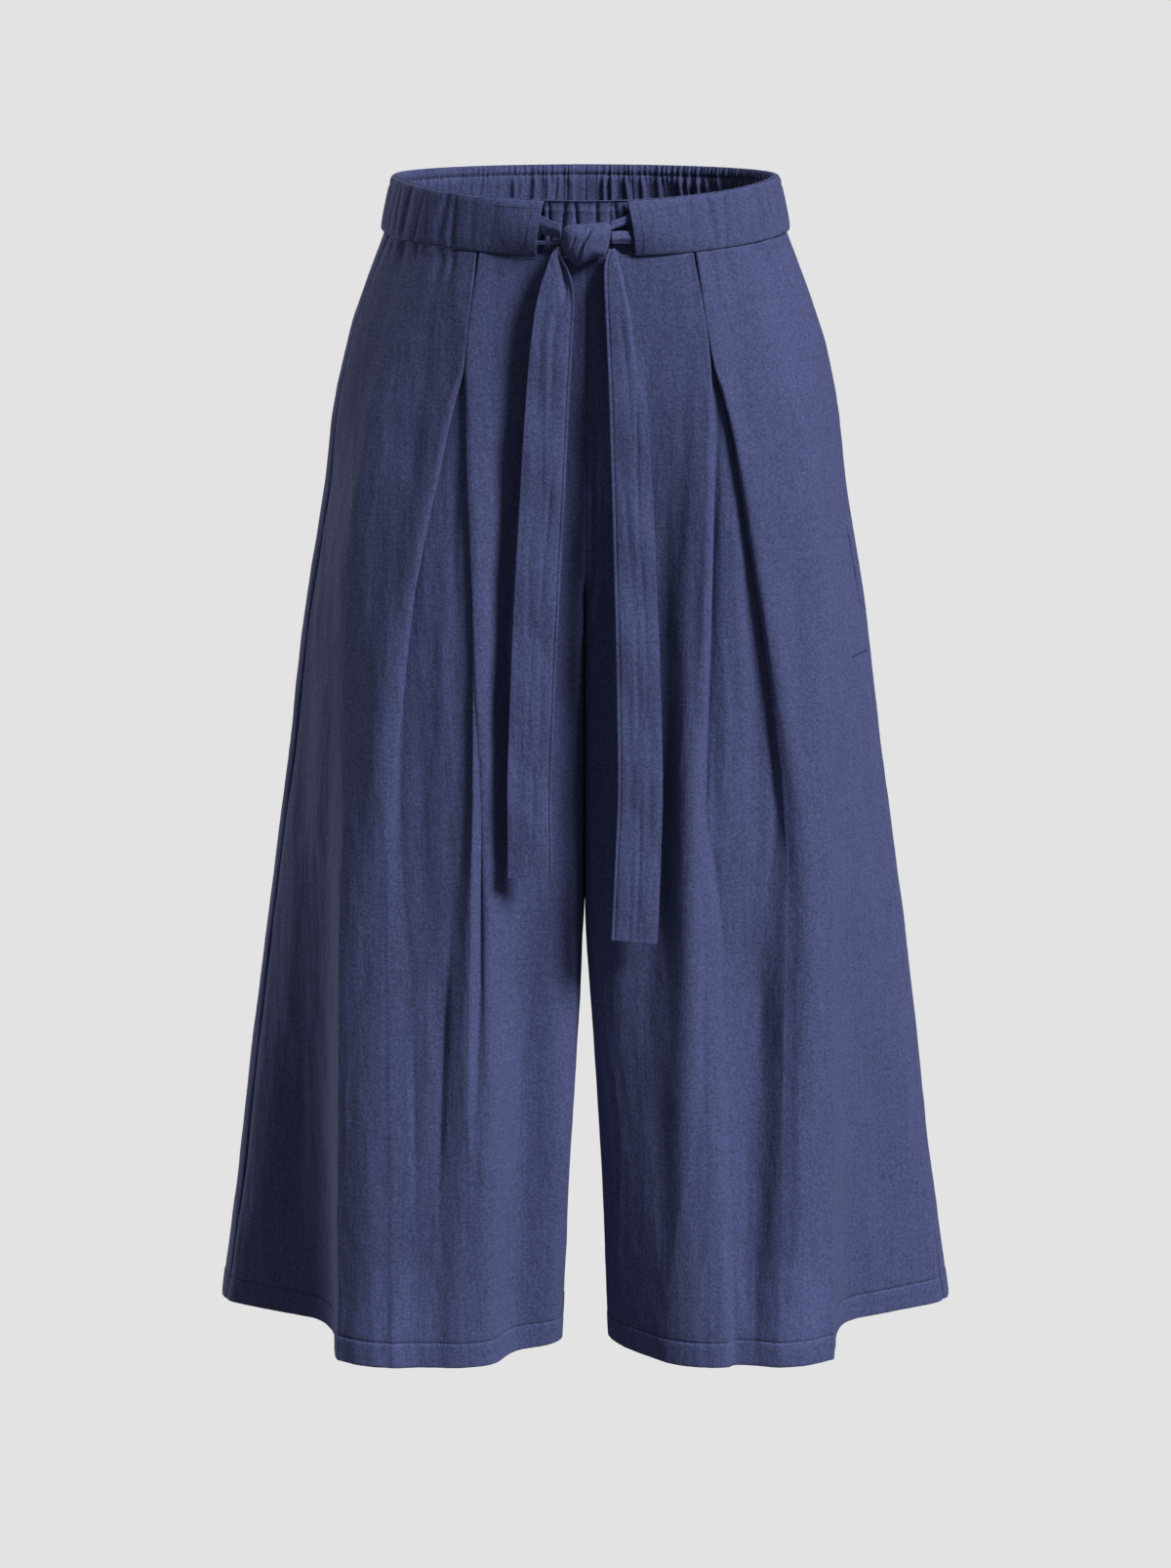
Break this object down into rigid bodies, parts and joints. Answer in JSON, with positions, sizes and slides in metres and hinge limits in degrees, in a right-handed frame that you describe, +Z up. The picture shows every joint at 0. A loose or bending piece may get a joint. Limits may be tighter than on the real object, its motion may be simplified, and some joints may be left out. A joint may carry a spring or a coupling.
{
  "type": "cropped wide-leg pleated trousers with a tied waist, hakama style",
  "caption": "Cropped, very wide trousers with an inverted pleat in each front, a gathered elastic waistband and a knotted tie, filled out as worn with no wearer.",
  "frame": {"origin": "the middle of the waist opening, level with the top edge of the waistband at the sides and back, where the wearer's waist holds the garment up", "axes": "+X towards the viewer's right, the front faces -Y, +Z up"},
  "size_m": [0.5541, 0.2671, 0.8591],
  "materials": {
    "leg_cloth": "matt navy blue cotton and linen twill with fine slubs",
    "band_cloth": "the same matt navy twill, gathered over elastic",
    "tie_cloth": "the same matt navy twill, folded double and edge stitched"
  },
  "bodies": {
    "root": {"front_left": "leg_cloth", "front_right": "leg_cloth", "back_left": "leg_cloth", "back_right": "leg_cloth", "waistband_front_left": "band_cloth", "waistband_front_right": "band_cloth", "waistband_back": "band_cloth", "waistband_inner": "band_cloth", "tie_strand_left_upper": "tie_cloth", "tie_strand_left_lower": "tie_cloth", "tie_strand_right_upper": "tie_cloth", "tie_strand_right_lower": "tie_cloth", "tie_knot": "tie_cloth", "tie_end_left": "tie_cloth", "tie_end_right": "tie_cloth"}
  },
  "joints": []
}
